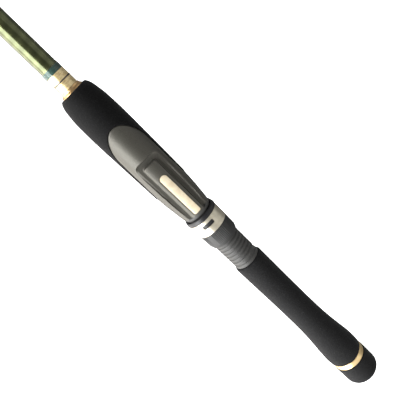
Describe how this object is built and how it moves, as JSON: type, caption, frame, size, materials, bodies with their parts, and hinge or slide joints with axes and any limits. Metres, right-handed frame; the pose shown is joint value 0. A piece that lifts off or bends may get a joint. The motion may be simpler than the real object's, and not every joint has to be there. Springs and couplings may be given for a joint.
{
  "type": "spinning rod",
  "caption": "Two-piece spinning rod with foam grips, screw-down reel seat, thread wraps and ceramic line guides.",
  "frame": {"origin": "centre of the flat end of the butt cap", "axes": "+X along the rod to the tip, +Z the thumb side of the reel seat, reel and guides on the -Z side"},
  "size_m": [2.1027, 0.0298, 0.0593],
  "materials": {
    "blank_graphite": "dark olive carbon fibre blank under clear gloss",
    "foam": "fine closed-cell EVA foam, matt",
    "gold_metal": "polished gold-coloured metal",
    "seat_plastic": "gunmetal painted reinforced nylon, satin gloss",
    "badge_metal": "brushed pale gold plate",
    "arbor_plastic": "foamed plastic arbor",
    "hood_steel": "champagne silver stainless steel",
    "black_plastic": "black nylon",
    "nut_plastic": "dark grey nylon",
    "gold_thread": "metallic gold winding thread",
    "green_thread": "dark olive winding thread",
    "teal_thread": "teal winding thread",
    "dark_thread": "dark winding thread",
    "lacquer": "clear epoxy",
    "guide_steel": "polished stainless steel",
    "ceramic": "polished dark ceramic"
  },
  "bodies": {
    "butt_section": {"butt_blank": "blank_graphite", "butt_cap": "foam", "butt_ring": "gold_metal", "foregrip": "foam", "handle_lacquer": "lacquer", "handle_trim_line": "dark_thread", "handle_trim_wrap": "teal_thread", "handle_wrap": "gold_thread", "rear_grip": "foam", "seat_arbor_front": "arbor_plastic", "seat_arbor_rear": "arbor_plastic", "seat_badge": "badge_metal", "seat_body": "seat_plastic", "stripper_guide_frame": "guide_steel", "stripper_guide_lacquer": "lacquer", "stripper_guide_ring": "ceramic", "stripper_guide_wrap": "green_thread", "winding_check": "gold_metal"},
    "moving_hood": {"hood_shell": "hood_steel", "hood_liner": "black_plastic"},
    "nut": {"lock_nut": "nut_plastic"},
    "tip_section": {"ferrule_lacquer": "lacquer", "ferrule_trim_wrap": "teal_thread", "ferrule_wrap": "gold_thread", "guide_1_frame": "guide_steel", "guide_1_lacquer": "lacquer", "guide_1_ring": "ceramic", "guide_1_wrap": "green_thread", "guide_2_frame": "guide_steel", "guide_2_lacquer": "lacquer", "guide_2_ring": "ceramic", "guide_2_wrap": "green_thread", "guide_3_frame": "guide_steel", "guide_3_lacquer": "lacquer", "guide_3_ring": "ceramic", "guide_3_wrap": "green_thread", "guide_4_frame": "guide_steel", "guide_4_lacquer": "lacquer", "guide_4_ring": "ceramic", "guide_4_wrap": "green_thread", "guide_5_frame": "guide_steel", "guide_5_lacquer": "lacquer", "guide_5_ring": "ceramic", "guide_5_wrap": "green_thread", "guide_6_frame": "guide_steel", "guide_6_lacquer": "lacquer", "guide_6_ring": "ceramic", "guide_6_wrap": "green_thread", "tip_blank": "blank_graphite", "tip_top_frame": "guide_steel", "tip_top_lacquer": "lacquer", "tip_top_ring": "ceramic", "tip_top_wrap": "green_thread"}
  },
  "joints": [
    {"name": "hood_slide", "type": "slide", "parent": "butt_section", "child": "moving_hood", "axis": [1, 0, 0], "range_m": [-0.0205, 0]},
    {"name": "nut_turn", "type": "hinge", "parent": "moving_hood", "child": "nut", "pos_m": [0.183, 0, 0], "axis": [1, 0, 0], "range_deg": [-2320, 0]},
    {"name": "tip_pull", "type": "slide", "parent": "butt_section", "child": "tip_section", "axis": [1, 0, 0], "range_m": [0, 0.09]}
  ],
  "couplings": [
    {"joint": "nut_turn", "follows": "hood_slide", "rad_per_m": 1963.5}
  ]
}
